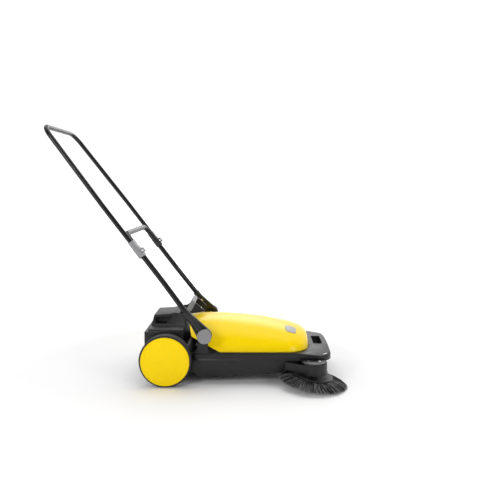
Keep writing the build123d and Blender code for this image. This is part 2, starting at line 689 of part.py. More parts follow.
FAIRING_LOW = 56.0
FAIRING_HIGH = 86.0
FAIRING_END = (446.0, -185.5)
FAIRING_TIP = 3.0
FAIRING_TRIM = [(400, -150), (620, -150), (620, -180), (BUMPER_REAR, -180), (400, -183.6)]
HOUSING_SCREWS = [(BRUSH_X - 22, BRUSH_Y - 4), (BRUSH_X + 20, BRUSH_Y - 10)]

with BuildPart() as brush_housing:
    with BuildSketch(TOP.offset(HOUSING_BOTTOM)):
        with Locations((BRUSH_X, BRUSH_Y)):
            Circle(HOUSING_RADIUS)
    extrude(amount=HOUSING_TOP - HOUSING_BOTTOM)
    fillet(brush_housing.edges().filter_by(GeomType.CIRCLE).sort_by(Axis.Z)[-1], radius=5)
    with BuildSketch(TOP.offset(HOUSING_BOTTOM)):
        with Locations((BRUSH_X, BRUSH_Y)):
            Circle(HOUSING_RADIUS - WALL)
    extrude(amount=HOUSING_TOP - HOUSING_BOTTOM - WALL, mode=Mode.SUBTRACT)
    # fairing that carries the outer face back to the side cover
    with BuildSketch(TOP.offset(FAIRING_LOW)):
        with Locations((BRUSH_X, BRUSH_Y)):
            Circle(HOUSING_RADIUS)
        with Locations(FAIRING_END):
            Circle(FAIRING_TIP)
        make_hull()
        with BuildSketch(mode=Mode.SUBTRACT):
            with Locations((BRUSH_X, BRUSH_Y)):
                Circle(HOUSING_RADIUS - WALL)
            with Locations((FAIRING_END[0] + 2 * WALL, FAIRING_END[1] + WALL)):
                Circle(FAIRING_TIP)
            make_hull()
        Polygon(*FAIRING_TRIM, align=None, mode=Mode.SUBTRACT)
    extrude(amount=FAIRING_HIGH - FAIRING_LOW)
    # lip round the foot, flat inboard side, way in for the belt, inspection hole and screw holes
    with BuildSketch(TOP.offset(HOUSING_BOTTOM)):
        with Locations((BRUSH_X, BRUSH_Y)):
            Circle(HOUSING_RADIUS + 2)
            Circle(HOUSING_RADIUS - WALL, mode=Mode.SUBTRACT)
    extrude(amount=5)
    with BuildSketch(TOP.offset(HOUSING_BOTTOM - 10)):
        with Locations((BRUSH_X, -HOUSING_INBOARD)):
            Rectangle(120, 60, align=(Align.CENTER, Align.MIN))
    extrude(amount=60, mode=Mode.SUBTRACT)
    with BuildSketch(TOP.offset(HOUSING_BOTTOM - 1)):
        with Locations((BRUSH_X - HOUSING_RADIUS - 3, -HOUSING_INBOARD + 1)):
            Rectangle(52, BELT_WIDTH + 6, align=(Align.MIN, Align.MAX))
    extrude(amount=FRONT_Z + FRONT_PULLEY + 4 - HOUSING_BOTTOM, mode=Mode.SUBTRACT)
    with BuildSketch(TOP.offset(HOUSING_TOP - 10)):
        with Locations((BRUSH_X + 4, BRUSH_Y + 8)):
            Circle(8)
        with Locations(*HOUSING_SCREWS):
            Circle(SCREW_RADIUS)
    extrude(amount=20, mode=Mode.SUBTRACT)
save(brush_housing, "brush_housing")

with BuildPart() as housing_screws:
    with BuildSketch(TOP.offset(HOUSING_TOP - 8)):
        with Locations(*HOUSING_SCREWS):
            Circle(SCREW_RADIUS)
    extrude(amount=8)
    with BuildSketch(TOP.offset(HOUSING_TOP)):
        with Locations(*HOUSING_SCREWS):
            Circle(4.5)
    extrude(amount=2)
save(housing_screws, "housing_screws")

# ================================================================ side brush
with BuildPart() as brush_disc:
    with BuildSketch(BRUSH.offset(-7)):
        Circle(DISC_RADIUS)
    extrude(amount=7)
    fillet(brush_disc.edges().filter_by(GeomType.CIRCLE), radius=2)
    with BuildSketch(BRUSH):
        Circle(16)
    extrude(amount=5, taper=15)
    with BuildSketch(BRUSH.offset(-4)):
        Circle(SPINDLE_RADIUS)
    extrude(amount=20, mode=Mode.SUBTRACT)
save(brush_disc, "brush_disc")

BRISTLE_SIDE = Plane(BRUSH.origin, x_dir=BRUSH.x_dir, z_dir=(0, -1, 0))
BRISTLE_ROOT = -7.0

with BuildPart() as brush_bristles:
    with BuildSketch(BRISTLE_SIDE):
        with BuildLine():
            top_edge = ThreePointArc(
                (DISC_RADIUS - 3, BRISTLE_ROOT), (104, -13.5), (BRUSH_RADIUS, -BRISTLE_DROP)
            )
            Line(top_edge @ 1, (BRUSH_RADIUS - 26, -BRISTLE_DROP))
            Line((BRUSH_RADIUS - 26, -BRISTLE_DROP), (46, BRISTLE_ROOT))
            Line((46, BRISTLE_ROOT), top_edge @ 0)
        make_face()
    revolve(axis=Axis(BRUSH.origin, BRUSH.z_dir))
save(brush_bristles, "brush_bristles")

# ================================================================ seals
with BuildPart() as front_seal:
    with BuildSketch(SIDE.offset(-SIDE_INNER + 1)):
        Polygon(
            (ROOF_END + 1, 36), (ROOF_END + 3, 36), (ROOF_END + 3, 46), (ROOF_END, 46), align=None
        )
    extrude(amount=2 * SIDE_INNER - 2)
save(front_seal, "front_seal")

with BuildPart() as side_seals:
    for side in SIDES.values():
        with BuildSketch(SIDE.offset(side * (SIDE_INNER - WALL))):
            Polygon((-14, 8), (45, 8), (78, 44), (78, 58), (-14, 58), align=None)
            with Locations((ROLLER_X, ROLLER_Z)):
                Circle(BEARING_RADIUS + 6, mode=Mode.SUBTRACT)
        extrude(amount=side * (WALL - GAP))
save(side_seals, "side_seals")

# ================================================================ dirt container
HUMP_HALF = 98.0
HUMP_TAPER = 33.0             # the flanks of the raised middle lean in
HUMP_SPARE = 100.0            # trimmed off again, so that only the flanks lean
GRIP_INNER = 50.0             # inner wall of the hand grips in its flanks
HUMP_OUTLINE = [
    (-74, BOX_TOP - 10), (-64, 236), (-4, 240), (14, 244), (42, 242), (57, 228), (BOX_FRONT, BOX_TOP - 10)
]
GRIP_OUTLINE = [(-56, 206), (-14, 206), (10, 233), (-58, 227)]
THROAT = ROLLER_RADIUS + 14        # container wall to roller axis
SHELF_Z = ROLLER_Z + ROOF_RADIUS + WALL + 4
BODY_OUTLINE = [
    (BOX_REAR + 5, BOX_BOTTOM), (BOX_REAR, BOX_BOTTOM + 60), (BOX_REAR, BOX_TOP - 8),
    (BOX_REAR + 10, BOX_TOP), (BOX_FRONT, BOX_TOP), (BOX_FRONT, SHELF_Z), (2, SHELF_Z),
    (ROLLER_X - THROAT, 96), (ROLLER_X - THROAT, BOX_BOTTOM),
]
HOLLOW_OUTLINE = [
    (BOX_REAR + 5 + WALL, BOX_BOTTOM + WALL), (BOX_REAR + WALL, BOX_BOTTOM + 60),
    (BOX_REAR + WALL, BOX_TOP - 11), (BOX_FRONT - WALL, BOX_TOP - 11), (BOX_FRONT - WALL, SHELF_Z + WALL),
    (1, SHELF_Z + WALL), (ROLLER_X - THROAT - WALL, 97), (ROLLER_X - THROAT - WALL, BOX_BOTTOM + WALL),
]

with BuildPart() as container:
    with BuildSketch(SIDE.offset(-BOX_HALF)):
        Polygon(*BODY_OUTLINE, align=None)
    extrude(amount=2 * BOX_HALF)
    fillet(container.edges().filter_by(Axis.X).group_by(Axis.Z)[-1], radius=12)
    with BuildSketch(TOP.offset(BOX_TOP - 10)):
        with Locations(((BOX_FRONT - 74) / 2, 0)):
            Rectangle(BOX_FRONT + 74 + HUMP_SPARE, 2 * HUMP_HALF)
    extrude(amount=66, taper=HUMP_TAPER)
    with BuildSketch(SIDE.offset(-200)):
        Polygon(
            *HUMP_OUTLINE, (200, BOX_TOP - 10), (200, 300), (-200, 300), (-200, BOX_TOP - 10), align=None
        )
    extrude(amount=400, mode=Mode.SUBTRACT)
    # hollow, with a mouth at the front towards the roller
    with BuildSketch(SIDE.offset(-BOX_HALF + WALL)):
        Polygon(*HOLLOW_OUTLINE, align=None)
    extrude(amount=2 * BOX_HALF - 2 * WALL, mode=Mode.SUBTRACT)
    with BuildSketch(SIDE.offset(-GRIP_INNER + WALL)):
        Polygon(
            (-66, BOX_TOP - 12), (-62, 228), (-4, 234), (15, 240), (41, 238), (53, 226),
            (57, BOX_TOP - 12), align=None,
        )
    extrude(amount=2 * (GRIP_INNER - WALL), mode=Mode.SUBTRACT)
    with BuildSketch(FRONT.offset(ROLLER_X - THROAT - 10)):
        with Locations((0, 66)):
            Rectangle(2 * BOX_HALF - 20, 50)
    extrude(amount=20, mode=Mode.SUBTRACT)
    # hand grips let into both flanks of the raised middle, and the notch in the rear edge
    for side in SIDES.values():
        with BuildSketch(SIDE.offset(side * GRIP_INNER)):
            Polygon(*GRIP_OUTLINE, align=None)
        extrude(amount=side * (HUMP_HALF - GRIP_INNER), mode=Mode.SUBTRACT)
    with BuildSketch(TOP.offset(BOX_TOP - 9)):
        with Locations((BOX_REAR - 32, 0)):
            Circle(54)
    extrude(amount=60, mode=Mode.SUBTRACT)
save(container, "container")

# ================================================================ container handle
ARM_THICK = 7.0
ARM_MIDDLE = 52.0
ARM_OUTLINE = [(34, 239), (58, 232), (76, 262), (70, 264), (52, 252), (40, 252)]
BRACE_OUTLINE = [(60, 236), (132, 246), (134, 250), (102, 279), (86, 280)]
GRIP_RADIUS = 10.0
GRIP_END = ARM_MIDDLE + ARM_THICK / 2 + 2
GRIP_ENDS = [(74, 257), (86, 280)]

with BuildPart() as container_handle:
    for y in (ARM_MIDDLE, -ARM_MIDDLE):
        with BuildSketch(SIDE.offset(y - ARM_THICK / 2)):
            Polygon(*ARM_OUTLINE, align=None)
            Polygon(*BRACE_OUTLINE, align=None)
        extrude(amount=ARM_THICK)
    with BuildSketch(TOP.offset(240)):
        with Locations((45, 0)):
            Rectangle(16, 2 * ARM_MIDDLE)
    extrude(amount=5)
    # the arms end at the grip, which caps them
    with BuildSketch(SIDE.offset(-ARM_MIDDLE - ARM_THICK)):
        for end in GRIP_ENDS:
            with Locations(end):
                Circle(GRIP_RADIUS)
        make_hull()
    extrude(amount=2 * (ARM_MIDDLE + ARM_THICK), mode=Mode.SUBTRACT)
    # the feet stand on the container's raised middle
    with BuildSketch(SIDE.offset(-ARM_MIDDLE - ARM_THICK)):
        Polygon(*HUMP_OUTLINE, align=None)
    extrude(amount=2 * (ARM_MIDDLE + ARM_THICK), mode=Mode.SUBTRACT)
save(container_handle, "container_handle")

with BuildPart() as container_grip:
    with BuildSketch(SIDE.offset(-GRIP_END)):
        for end in GRIP_ENDS:
            with Locations(end):
                Circle(GRIP_RADIUS)
        make_hull()
    extrude(amount=2 * GRIP_END)
save(container_grip, "container_grip")

# ================================================================ push handle, lower part
SOCKET_LOW = 32.0             # lower end of the tube, above the pivot pin
BRACKET_TOP = 112.0
BRACKET_INNER = 191.5
PLATE_THICK = 12.0
SOCKET_WALL = 3.0
HUB_OUTER = LOWER_HALF + LOWER_RADIUS + SOCKET_WALL + 1
HUB_AHEAD = 2.0               # the hub's outline stands a little ahead of the pivot
SLANT_LOW = 118.0             # the legs draw in between these heights
SLANT_HIGH = 250.0
CROSSBAR_BEND = 34.0
GENTLE_BEND = 100.0
RIVET_UP = 69.0
RIVET_RADIUS = 3.0
RIVET_HEAD = 6.0
RIVET_SEAT = 216.0

with BuildPart() as lower_tube:
    with BuildLine(HANDLE) as lower_path:
        FilletPolyline(
            (-LOWER_HALF, SOCKET_LOW), (-LOWER_HALF, SLANT_LOW), (-LOWER_TOP_HALF, SLANT_HIGH),
            (-LOWER_TOP_HALF, LOWER_LENGTH), (LOWER_TOP_HALF, LOWER_LENGTH),
            (LOWER_TOP_HALF, SLANT_HIGH), (LOWER_HALF, SLANT_LOW), (LOWER_HALF, SOCKET_LOW),
            radius=[GENTLE_BEND, GENTLE_BEND, CROSSBAR_BEND, CROSSBAR_BEND, GENTLE_BEND, GENTLE_BEND],
        )
    with BuildSketch(across_handle(SOCKET_LOW)):
        with Locations((-LOWER_HALF, 0)):
            Circle(LOWER_RADIUS)
            Circle(LOWER_RADIUS - TUBE_WALL, mode=Mode.SUBTRACT)
    sweep()
    with BuildSketch(HANDLE_SIDE.offset(-250)):
        with Locations((0, RIVET_UP)):
            Circle(RIVET_RADIUS)
    extrude(amount=500, mode=Mode.SUBTRACT)
save(lower_tube, "lower_tube")

for side_name, side in SIDES.items():
    with BuildPart() as bracket:
        # plate that narrows upwards from the hub, and the socket round the tube
        with BuildSketch(HANDLE_SIDE.offset(side * BRACKET_INNER)):
            with Locations((HUB_AHEAD, 0)):
                Circle(HUB_RADIUS)
            with Locations((0, BRACKET_TOP - LOWER_RADIUS)):
                Circle(LOWER_RADIUS)
            make_hull()
        extrude(amount=side * PLATE_THICK)
        with BuildSketch(HANDLE_SIDE.offset(side * BRACKET_INNER)):
            with Locations((HUB_AHEAD, 0)):
                Circle(HUB_RADIUS)
        extrude(amount=side * (HUB_OUTER - BRACKET_INNER))
        with BuildSketch(across_handle(SOCKET_LOW / 2)):
            with Locations((-side * LOWER_HALF, 0)):
                Circle(LOWER_RADIUS + SOCKET_WALL)
        extrude(amount=BRACKET_TOP - SOCKET_LOW / 2)
        with BuildSketch(across_handle(SOCKET_LOW)):
            with Locations((-side * LOWER_HALF, 0)):
                Circle(LOWER_RADIUS)
        extrude(amount=BRACKET_TOP, mode=Mode.SUBTRACT)
        # bore for the pivot pin, rivet hole and the flat seat of the rivet's head
        with BuildSketch(HANDLE_SIDE.offset(side * (BRACKET_INNER - 1))):
            Circle(PIN_RADIUS + RUNNING)
            with Locations((0, RIVET_UP)):
                Circle(RIVET_RADIUS)
        extrude(amount=side * 40, mode=Mode.SUBTRACT)
        with BuildSketch(HANDLE_SIDE.offset(side * RIVET_SEAT)):
            with Locations((0, RIVET_UP)):
                Circle(RIVET_HEAD + GAP)
        extrude(amount=side * 10, mode=Mode.SUBTRACT)
    save(bracket, f"{side_name}_bracket")

    # cup over the pin's outer end
    with BuildPart() as pivot_cap:
        with BuildSketch(HANDLE_SIDE.offset(side * HUB_OUTER)):
            with Locations((HUB_AHEAD, 0)):
                Circle(HUB_RADIUS)
        extrude(amount=side * 7.5)
        outer_face = pivot_cap.faces().filter_by(Axis.Y).sort_by(Axis.Y)[0 if side > 0 else -1]
        fillet(outer_face.edges(), radius=4)
        with BuildSketch(HANDLE_SIDE.offset(side * HUB_OUTER)):
            Circle(PIN_RADIUS + 9)
        extrude(amount=side * 5.5, mode=Mode.SUBTRACT)
    save(pivot_cap, f"{side_name}_pivot_cap")

with BuildPart() as bracket_rivets:
    for side in SIDES.values():
        with BuildSketch(HANDLE_SIDE.offset(side * (BRACKET_INNER - 0.9))):
            with Locations((0, RIVET_UP)):
                Circle(RIVET_HEAD)
        extrude(amount=side * 0.9)
        with BuildSketch(HANDLE_SIDE.offset(side * BRACKET_INNER)):
            with Locations((0, RIVET_UP)):
                Circle(RIVET_RADIUS)
        extrude(amount=side * (RIVET_SEAT - BRACKET_INNER))
        with BuildSketch(HANDLE_SIDE.offset(side * RIVET_SEAT)):
            with Locations((0, RIVET_UP)):
                Circle(RIVET_HEAD)
        extrude(amount=side * 3)
save(bracket_rivets, "bracket_rivets")

# ================================================================ handle clamps
CLAMP_STEP = 410.0            # the clamp is slimmer above here
EAR_LOW = 381.0
EAR_HIGH = 399.0
EAR_OUT = 21.5                # in front of the tubes
EAR_MIDDLE = (LOWER_TOP_HALF + UPPER_HALF) / 2
EAR_HALF = 9.0
SLOT_HALF = 1.0
BOLT_OUT = 16.5
BOLT_RADIUS = 2.2
BOLT_HEAD = 4.8

for side_name, side in SIDES.items():
    with BuildPart() as clamp:
        with BuildSketch(across_handle(CLAMP_LOW)):
            with Locations((-side * LOWER_TOP_HALF, 0)):
                Circle(LOWER_RADIUS + 3)
            with Locations((-side * UPPER_HALF, 0)):
                Circle(UPPER_RADIUS + 3)
            make_hull()
        extrude(amount=CLAMP_STEP - CLAMP_LOW)
        with BuildSketch(across_handle(CLAMP_STEP)):
            with Locations((-side * LOWER_TOP_HALF, 0)):
                Circle(LOWER_RADIUS + 2)
            with Locations((-side * UPPER_HALF, 0)):
                Circle(UPPER_RADIUS + 2)
            make_hull()
        extrude(amount=CLAMP_HIGH - CLAMP_STEP)
        with BuildSketch(across_handle(EAR_LOW)):
            with Locations((-side * EAR_MIDDLE, 0)):
                Rectangle(2 * EAR_HALF, EAR_OUT, align=(Align.CENTER, Align.MAX))
        extrude(amount=EAR_HIGH - EAR_LOW)
        with BuildSketch(across_handle(CLAMP_LOW - 1)):
            with Locations((-side * LOWER_TOP_HALF, 0)):
                Circle(LOWER_RADIUS)
            with Locations((-side * UPPER_HALF, 0)):
                Circle(UPPER_RADIUS + RUNNING)
        extrude(amount=CLAMP_HIGH - CLAMP_LOW + 2, mode=Mode.SUBTRACT)
        # the slot that the bolt draws together
        with BuildSketch(across_handle(EAR_LOW - 1)):
            with Locations((-side * EAR_MIDDLE, -13)):
                Rectangle(2 * SLOT_HALF, EAR_OUT, align=(Align.CENTER, Align.MAX))
        extrude(amount=EAR_HIGH - EAR_LOW + 2, mode=Mode.SUBTRACT)
        with BuildSketch(HANDLE_SIDE.offset(side * (EAR_MIDDLE - 20))):
            with Locations((BOLT_OUT, (EAR_LOW + EAR_HIGH) / 2)):
                Circle(BOLT_RADIUS)
        extrude(amount=side * 40, mode=Mode.SUBTRACT)
        for face, way in ((EAR_MIDDLE + EAR_HALF, 1), (EAR_MIDDLE - EAR_HALF, -1)):
            with BuildSketch(HANDLE_SIDE.offset(side * face)):
                with Locations((BOLT_OUT, (EAR_LOW + EAR_HIGH) / 2)):
                    Circle(BOLT_HEAD + GAP)
            extrude(amount=side * way * 20, mode=Mode.SUBTRACT)
    save(clamp, f"{side_name}_clamp")

with BuildPart() as clamp_bolts:
    for side in SIDES.values():
        with BuildSketch(HANDLE_SIDE.offset(side * (EAR_MIDDLE - EAR_HALF))):
            with Locations((BOLT_OUT, (EAR_LOW + EAR_HIGH) / 2)):
                Circle(BOLT_RADIUS)
        extrude(amount=side * (2 * EAR_HALF + 6))
        with BuildSketch(HANDLE_SIDE.offset(side * (EAR_MIDDLE - EAR_HALF))):
            with Locations((BOLT_OUT, (EAR_LOW + EAR_HIGH) / 2)):
                Circle(BOLT_HEAD)
        extrude(amount=-side * 4)
        with BuildSketch(HANDLE_SIDE.offset(side * (EAR_MIDDLE + EAR_HALF))):
            with Locations((BOLT_OUT, (EAR_LOW + EAR_HIGH) / 2)):
                RegularPolygon(BOLT_HEAD, 6)
        extrude(amount=side * 4)
save(clamp_bolts, "clamp_bolts")

# ================================================================ push handle, upper part
UPPER_STRAIGHT = 600.0        # straight below here, so that the tube can slide through the clamps
UPPER_BEND = 150.0
GRIP_BEND = 55.0
PLUG_HEAD = 3.0

with BuildPart() as upper_tube:
    with BuildLine(HANDLE):
        FilletPolyline(
            (-UPPER_HALF, CLAMP_LOW), (-UPPER_HALF, UPPER_STRAIGHT), (-UPPER_TOP_HALF, HANDLE_LENGTH),
            (UPPER_TOP_HALF, HANDLE_LENGTH), (UPPER_HALF, UPPER_STRAIGHT), (UPPER_HALF, CLAMP_LOW),
            radius=[UPPER_BEND, GRIP_BEND, GRIP_BEND, UPPER_BEND],
        )
    with BuildSketch(across_handle(CLAMP_LOW)):
        with Locations((-UPPER_HALF, 0)):
            Circle(UPPER_RADIUS)
            Circle(UPPER_RADIUS - TUBE_WALL, mode=Mode.SUBTRACT)
    sweep()
save(upper_tube, "upper_tube")

with BuildPart() as tube_plugs:
    for side in SIDES.values():
        with BuildSketch(across_handle(CLAMP_LOW)):
            with Locations((-side * UPPER_HALF, 0)):
                Circle(UPPER_RADIUS)
        extrude(amount=-PLUG_HEAD)
        with BuildSketch(across_handle(CLAMP_LOW)):
            with Locations((-side * UPPER_HALF, 0)):
                Circle(UPPER_RADIUS - TUBE_WALL)
        extrude(amount=12)
save(tube_plugs, "tube_plugs")
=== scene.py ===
"""Looks of the push-along floor sweeper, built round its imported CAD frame. Metres, +X forward, +Z up."""

import json
import random
from math import atan2, cos, pi, radians, sin, sqrt

import bmesh
import bpy
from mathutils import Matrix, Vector


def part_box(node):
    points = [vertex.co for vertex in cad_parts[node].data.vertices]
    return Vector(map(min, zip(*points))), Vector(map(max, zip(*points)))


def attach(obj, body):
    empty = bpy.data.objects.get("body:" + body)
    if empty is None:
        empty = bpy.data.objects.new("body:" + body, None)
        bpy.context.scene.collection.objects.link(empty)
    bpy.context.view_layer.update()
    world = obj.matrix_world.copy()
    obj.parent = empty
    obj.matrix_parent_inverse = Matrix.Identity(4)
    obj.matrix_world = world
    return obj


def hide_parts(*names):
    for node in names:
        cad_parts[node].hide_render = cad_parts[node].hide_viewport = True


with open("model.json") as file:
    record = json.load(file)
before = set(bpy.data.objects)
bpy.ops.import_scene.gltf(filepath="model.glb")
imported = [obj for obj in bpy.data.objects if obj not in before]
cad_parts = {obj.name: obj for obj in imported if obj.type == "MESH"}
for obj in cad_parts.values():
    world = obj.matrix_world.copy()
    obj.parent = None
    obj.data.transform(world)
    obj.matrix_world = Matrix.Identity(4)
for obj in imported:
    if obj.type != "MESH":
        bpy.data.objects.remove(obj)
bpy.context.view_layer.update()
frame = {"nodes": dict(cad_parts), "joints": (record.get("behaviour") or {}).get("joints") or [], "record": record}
joints = {joint["name"]: joint for joint in frame["joints"]}
slots = {entry["node"]: entry["material_slot"] for entry in frame["record"]["subparts"]}
body_of_node = {
    node: body
    for body, members in frame["record"]["behaviour"]["bodies"].items()
    for node in members
}

# ---------------------------------------------------------------- places taken from the frame
RIGHT_SPIN = joints["right_wheel_spin"]
AXLE_X, RIGHT_WHEEL_Y, AXLE_Z = RIGHT_SPIN["pos_m"]
MIDDLE_Y = (RIGHT_WHEEL_Y + joints["left_wheel_spin"]["pos_m"][1]) / 2
PIVOT = Vector(joints["handle_tilt"]["pos_m"])
BRUSH_CENTRE = Vector(joints["side_brush_spin"]["pos_m"])
BRUSH_AXIS = Vector(joints["side_brush_spin"]["axis"]).normalized()
ROLLER_CENTRE = Vector(joints["roller_spin"]["pos_m"])
SIDES = {"right": -1, "left": 1}


# ================================================================ materials
PATTERN_SPAN = (0.3, 0.7)     # where nearly all of a noise pattern's values lie
EDGE_SPAN = (0.52, 0.60)      # pointiness from a face to a worn edge
WORN_LIGHTER = 1.8
GLOSS_VARY = 0.12
SMUDGE_FINENESS = 3.1         # against the colour patches


def new_material(name):
    """An empty material with its shader: (material, nodes, links, shader)."""
    material = bpy.data.materials.new(name)
    material.use_nodes = True
    nodes, links = material.node_tree.nodes, material.node_tree.links
    shader = nodes["Principled BSDF"]
    return material, nodes, links, shader


def noise(nodes, links, coordinates, scale, detail=3.0, stretch=None):
    """A noise texture over object coordinates, its pattern drawn out along an axis if asked."""
    texture = nodes.new("ShaderNodeTexNoise")
    texture.inputs["Scale"].default_value = scale
    texture.inputs["Detail"].default_value = detail
    source = coordinates
    if stretch:
        mapping = nodes.new("ShaderNodeMapping")
        mapping.inputs["Scale"].default_value = stretch
        links.new(coordinates, mapping.inputs["Vector"])
        source = mapping.outputs["Vector"]
    links.new(source, texture.inputs["Vector"])
    return texture


def ramp(nodes, links, value, source, target):
    """Maps a value from one span onto another."""
    remap = nodes.new("ShaderNodeMapRange")
    remap.inputs["From Min"].default_value, remap.inputs["From Max"].default_value = source
    remap.inputs["To Min"].default_value, remap.inputs["To Max"].default_value = target
    links.new(value, remap.inputs["Value"])
    return remap.outputs["Result"]


def spread(nodes, links, value, low, high):
    """Maps a pattern's usual values onto low to high."""
    return ramp(nodes, links, value, PATTERN_SPAN, (low, high))


def shaded(color, factor):
    """A colour made lighter or darker."""
    return [min(1.0, channel * factor) for channel in color[:3]] + [1.0]


def surface(
    name, color, roughness, vary=0.06, patch=14.0, grain=900.0, bump=0.12, depth=0.0002,
    stretch=None, metallic=0.0, specular=0.5, wear=0.0,
):
    """A procedural finish: broad colour patches, uneven gloss, fine grain in relief and worn edges."""
    material, nodes, links, shader = new_material(name)
    place = nodes.new("ShaderNodeTexCoord").outputs["Object"]
    patches = noise(nodes, links, place, patch, 4.0, stretch)
    mix = nodes.new("ShaderNodeMix")
    mix.data_type = "RGBA"
    mix.inputs["A"].default_value = shaded(color, 1 - vary)
    mix.inputs["B"].default_value = shaded(color, 1 + vary)
    links.new(spread(nodes, links, patches.outputs["Fac"], 0, 1), mix.inputs["Factor"])
    tint = mix.outputs["Result"]
    if wear:
        edges = nodes.new("ShaderNodeNewGeometry").outputs["Pointiness"]
        rub = nodes.new("ShaderNodeMix")
        rub.data_type = "RGBA"
        rub.inputs["B"].default_value = shaded(color, WORN_LIGHTER)
        links.new(ramp(nodes, links, edges, EDGE_SPAN, (0, wear)), rub.inputs["Factor"])
        links.new(tint, rub.inputs["A"])
        tint = rub.outputs["Result"]
    links.new(tint, shader.inputs["Base Color"])
    smudges = noise(nodes, links, place, patch * SMUDGE_FINENESS, 5.0, stretch).outputs["Fac"]
    low, high = roughness * (1 - GLOSS_VARY), roughness * (1 + GLOSS_VARY)
    links.new(spread(nodes, links, smudges, low, high), shader.inputs["Roughness"])
    fine = noise(nodes, links, place, grain, 2.0, stretch)
    relief = nodes.new("ShaderNodeBump")
    relief.inputs["Strength"].default_value = bump
    relief.inputs["Distance"].default_value = depth
    links.new(fine.outputs["Fac"], relief.inputs["Height"])
    links.new(relief.outputs["Normal"], shader.inputs["Normal"])
    shader.inputs["Metallic"].default_value = metallic
    shader.inputs["Specular IOR Level"].default_value = specular
    return material


YELLOW = (1.0, 0.70, 0.0)
ANTHRACITE = (0.0072, 0.0072, 0.0080)
LIGHT_GREY = (0.23, 0.23, 0.24)
SATIN_BLACK = (0.004, 0.004, 0.0043)

MATERIALS = {
    "hood_yellow": surface("hood_yellow", YELLOW, 0.26, 0.015, 6, 260, 0.05, 0.0004, specular=0.2),
    "cap_yellow": surface("cap_yellow", YELLOW, 0.28, 0.015, 9, 420, 0.05, 0.0003, specular=0.15),
    "frame_plastic": surface(
        "frame_plastic", ANTHRACITE, 0.42, 0.1, 9, 1500, 0.35, specular=0.4, wear=0.35
    ),
    "cover_plastic": surface(
        "cover_plastic", ANTHRACITE, 0.40, 0.1, 11, 1500, 0.35, specular=0.4, wear=0.35
    ),
    "bumper_plastic": surface(
        "bumper_plastic", shaded(ANTHRACITE, 1.3), 0.42, 0.1, 9, 1400, 0.35, specular=0.4, wear=0.4
    ),
    "container_plastic": surface(
        "container_plastic", shaded(ANTHRACITE, 1.15), 0.44, 0.1, 8, 1500, 0.35, specular=0.4, wear=0.4
    ),
    "light_plastic": surface("light_plastic", LIGHT_GREY, 0.50, 0.05, 20, 1300, 0.25, wear=0.2),
    "tyre": surface("tyre", shaded(ANTHRACITE, 3.0), 0.60, 0.14, 26, 800, 0.4, 0.0003, specular=0.35),
    "rim_plastic": surface("rim_plastic", SATIN_BLACK, 0.5, 0.1, 18, 1200, 0.3),
    "inner_plastic": surface("inner_plastic", (0.62, 0.60, 0.54), 0.42, 0.05, 30, 1100, 0.15),
    "tube_paint": surface("tube_paint", SATIN_BLACK, 0.30, 0.1, 24, 1700, 0.3, specular=0.35),
    "bracket_plastic": surface(
        "bracket_plastic", shaded(SATIN_BLACK, 1.3), 0.42, 0.1, 24, 1400, 0.3, wear=0.2
    ),
    "zinc": surface(
        "zinc", (0.62, 0.62, 0.60), 0.28, 0.06, 60, 900, 0.2, stretch=(1, 6, 1), metallic=1.0
    ),
    "belt_rubber": surface("belt_rubber", (0.010, 0.010, 0.010), 0.7, 0.2, 60, 700, 0.4),
    "seal_rubber": surface("seal_rubber", (0.012, 0.012, 0.012), 0.65, 0.2, 50, 700, 0.4),
    "bristle": surface("bristle", (0.009, 0.009, 0.010), 0.36, 0.4, 70, 500, 0.2, specular=0.5),
}
# painted highlight: light grey fibres that stand in for glints on the black bristles
GLINT_BRISTLE = surface("pale_bristle", (0.30, 0.30, 0.30), 0.34, 0.3, 90, 500, 0.2)
BADGE = surface("badge", (0.36, 0.37, 0.38), 0.34, 0.08, 60, 700, 0.08)


# ================================================================ building pieces
WELD = 2e-5                   # points of a CAD mesh closer than this are one
FLAT_ENOUGH = radians(0.6)


def finish_piece(piece, node, smooth=radians(32)):
    """Gives a piece its node's body, slot and material, and hides the node."""
    slot = slots[node]
    piece.data.materials.clear()
    piece.data.materials.append(MATERIALS[slot])
    piece.data.shade_smooth()
    piece.data.set_sharp_from_angle(angle=smooth)
    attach(piece, body_of_node[node])
    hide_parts(node)
    return piece


def piece_from(name, mesh_builder):
    """A new object from a bmesh."""
    mesh = bpy.data.meshes.new(name)
    mesh_builder.to_mesh(mesh)
    mesh_builder.free()
    piece = bpy.data.objects.new(name, mesh)
    bpy.context.scene.collection.objects.link(piece)
    return piece


def apply_modifiers(piece):
    """Bakes a piece's modifiers into its mesh."""
    graph = bpy.context.evaluated_depsgraph_get()
    done = bpy.data.meshes.new_from_object(piece.evaluated_get(graph))
    piece.modifiers.clear()
    piece.data = done


def softened(node, width, segments=3, angle=35, shape=None, level=None):
    """A copy of a CAD node, cut across at a level and reshaped if asked, with rounded edges."""
    work = bmesh.new()
    work.from_mesh(frame["nodes"][node].data)
    bmesh.ops.remove_doubles(work, verts=work.verts, dist=WELD)
    bmesh.ops.dissolve_limit(work, angle_limit=FLAT_ENOUGH, verts=work.verts, edges=work.edges)
    if level:
        whole = work.verts[:] + work.edges[:] + work.faces[:]
        bmesh.ops.bisect_plane(work, geom=whole, plane_co=(0, 0, level), plane_no=(0, 0, 1))
    for vert in work.verts if shape else ():
        shape(vert)
    piece = piece_from(node + "_piece", work)
    bevel = piece.modifiers.new("edges", "BEVEL")
    bevel.width = width
    bevel.segments = segments
    bevel.limit_method = "ANGLE"
    bevel.angle_limit = radians(angle)
    bevel.use_clamp_overlap = True
    bevel.miter_outer = "MITER_ARC"
    apply_modifiers(piece)
    return finish_piece(piece, node)


